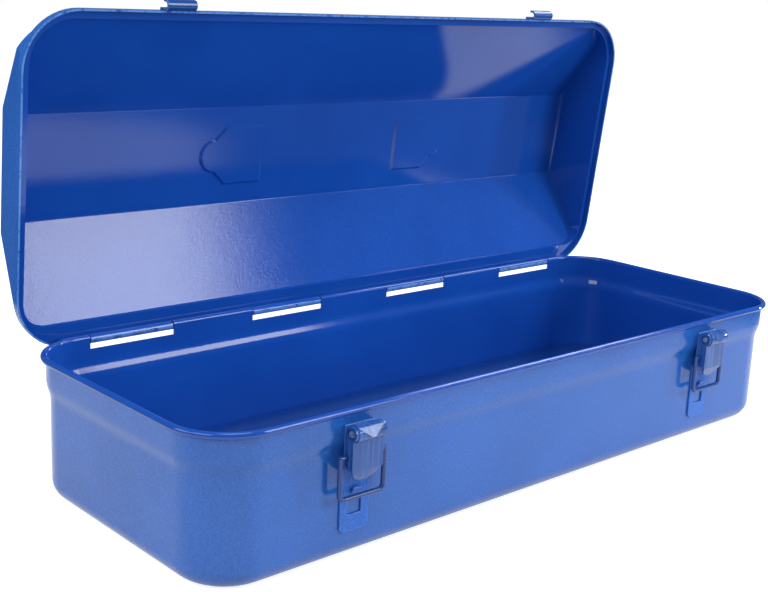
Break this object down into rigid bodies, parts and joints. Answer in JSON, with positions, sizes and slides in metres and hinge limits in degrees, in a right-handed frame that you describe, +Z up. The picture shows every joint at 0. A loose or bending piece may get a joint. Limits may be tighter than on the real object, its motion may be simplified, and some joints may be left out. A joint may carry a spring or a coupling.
{
  "type": "steel tool box",
  "caption": "Portable pressed-steel tool box with a hinged camber-top lid, over-centre draw latches and a folding carry handle.",
  "frame": {"origin": "centre of the tub's flat underside, where the box stands", "axes": "+X along the length, to the right seen from the latches; +Y from the latches to the hinge; +Z up. The lid is at its open stop at rest."},
  "size_m": [0.361, 0.1795, 0.202],
  "materials": {
    "tub_paint": "blue hammered enamel outside, glossy inside",
    "lid_paint": "blue glossy enamel",
    "wire_paint": "blue enamel over steel wire",
    "latch_paint": "blue enamel, glossy",
    "bail_paint": "blue enamel over steel wire",
    "pin_metal": "thinly painted steel pin",
    "handle_paint": "blue enamel, satin",
    "rivet_metal": "painted steel rivet"
  },
  "bodies": {
    "tub": {"base_tub": "tub_paint", "hinge_wire": "wire_paint", "latch_plate_left": "latch_paint", "latch_plate_right": "latch_paint", "latch_pin_left": "pin_metal", "latch_pin_right": "pin_metal"},
    "lid": {"lid_shell": "lid_paint", "striker_hook_left": "latch_paint", "striker_hook_right": "latch_paint", "handle_bracket_left": "handle_paint", "handle_bracket_right": "handle_paint", "handle_rivet_left": "rivet_metal", "handle_rivet_right": "rivet_metal"},
    "lever_left": {"latch_lever_left": "latch_paint"},
    "lever_right": {"latch_lever_right": "latch_paint"},
    "bail_left": {"latch_bail_left": "bail_paint"},
    "bail_right": {"latch_bail_right": "bail_paint"},
    "handle": {"handle_grip": "handle_paint"}
  },
  "joints": [
    {"name": "lid_hinge", "type": "hinge", "parent": "tub", "child": "lid", "pos_m": [0, 0.0682, 0.0597], "axis": [-1, 0, 0], "range_deg": [-84, 0]},
    {"name": "lever_left_pivot", "type": "hinge", "parent": "tub", "child": "lever_left", "pos_m": [-0.1115, -0.0716, 0.0529], "axis": [-1, 0, 0], "range_deg": [0, 110]},
    {"name": "lever_right_pivot", "type": "hinge", "parent": "tub", "child": "lever_right", "pos_m": [0.1115, -0.0716, 0.0529], "axis": [-1, 0, 0], "range_deg": [0, 110]},
    {"name": "bail_left_eye", "type": "hinge", "parent": "lever_left", "child": "bail_left", "pos_m": [-0.1115, -0.0698, 0.0436], "axis": [1, 0, 0], "range_deg": [-170.7, 0]},
    {"name": "bail_right_eye", "type": "hinge", "parent": "lever_right", "child": "bail_right", "pos_m": [0.1115, -0.0698, 0.0436], "axis": [1, 0, 0], "range_deg": [-170.7, 0]},
    {"name": "handle_pivot", "type": "hinge", "parent": "lid", "child": "handle", "pos_m": [0, 0.09856, 0.13147], "axis": [1, 0, 0], "range_deg": [-1, 193]}
  ]
}
